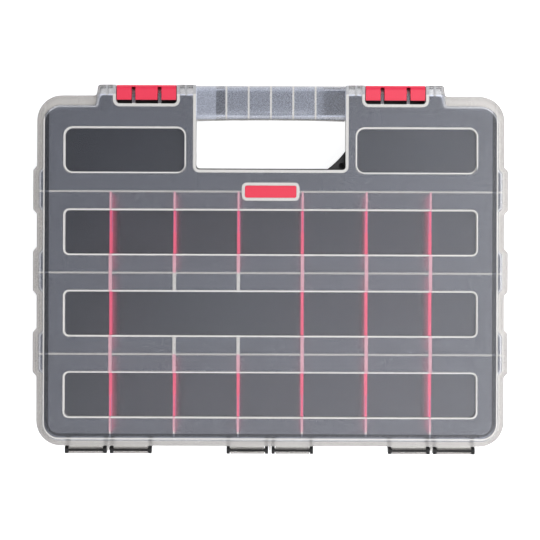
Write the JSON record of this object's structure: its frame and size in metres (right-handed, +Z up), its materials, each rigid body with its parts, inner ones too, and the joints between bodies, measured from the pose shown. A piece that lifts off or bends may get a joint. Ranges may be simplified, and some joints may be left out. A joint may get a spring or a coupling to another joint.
{
  "type": "tool organizer box",
  "caption": "Flat carrying organizer box with a translucent hinged lid, sliding-fit removable dividers, two pivoting snap latches and a built-in handle.",
  "frame": {"origin": "centre of the bounding box's bottom, on the surface the closed box lies on", "axes": "+X to the right and +Y towards the handle and latches seen from above, +Z up out of the lid"},
  "size_m": [0.3864, 0.302, 0.0626],
  "materials": {
    "black_plastic": "fine moulded grain",
    "clear_plastic": "milky translucent, smooth windows",
    "latch_plastic": "smooth",
    "divider_plastic": "smooth",
    "label_plastic": "smooth, bare"
  },
  "bodies": {
    "base": {"base_tray": "black_plastic", "divider_front_1": "divider_plastic", "divider_front_2": "divider_plastic", "divider_front_3": "divider_plastic", "divider_front_4": "divider_plastic", "divider_front_5": "divider_plastic", "divider_front_6": "divider_plastic", "divider_middle_1": "divider_plastic", "divider_middle_4": "divider_plastic", "divider_middle_5": "divider_plastic", "divider_middle_6": "divider_plastic", "divider_back_1": "divider_plastic", "divider_back_2": "divider_plastic", "divider_back_3": "divider_plastic", "divider_back_4": "divider_plastic", "divider_back_5": "divider_plastic", "divider_back_6": "divider_plastic"},
    "lid": {"lid": "clear_plastic", "label_plate": "label_plastic"},
    "latch_left": {"latch_left": "latch_plastic"},
    "latch_right": {"latch_right": "latch_plastic"}
  },
  "joints": [
    {"name": "lid_hinge", "type": "hinge", "parent": "base", "child": "lid", "pos_m": [0, -0.1479, 0.054], "axis": [1, 0, 0], "range_deg": [0, 180]},
    {"name": "latch_left_pivot", "type": "hinge", "parent": "lid", "child": "latch_left", "pos_m": [-0.101, 0.1435, 0.0575], "axis": [1, 0, 0], "range_deg": [0, 90]},
    {"name": "latch_right_pivot", "type": "hinge", "parent": "lid", "child": "latch_right", "pos_m": [0.101, 0.1435, 0.0575], "axis": [1, 0, 0], "range_deg": [0, 90]}
  ]
}
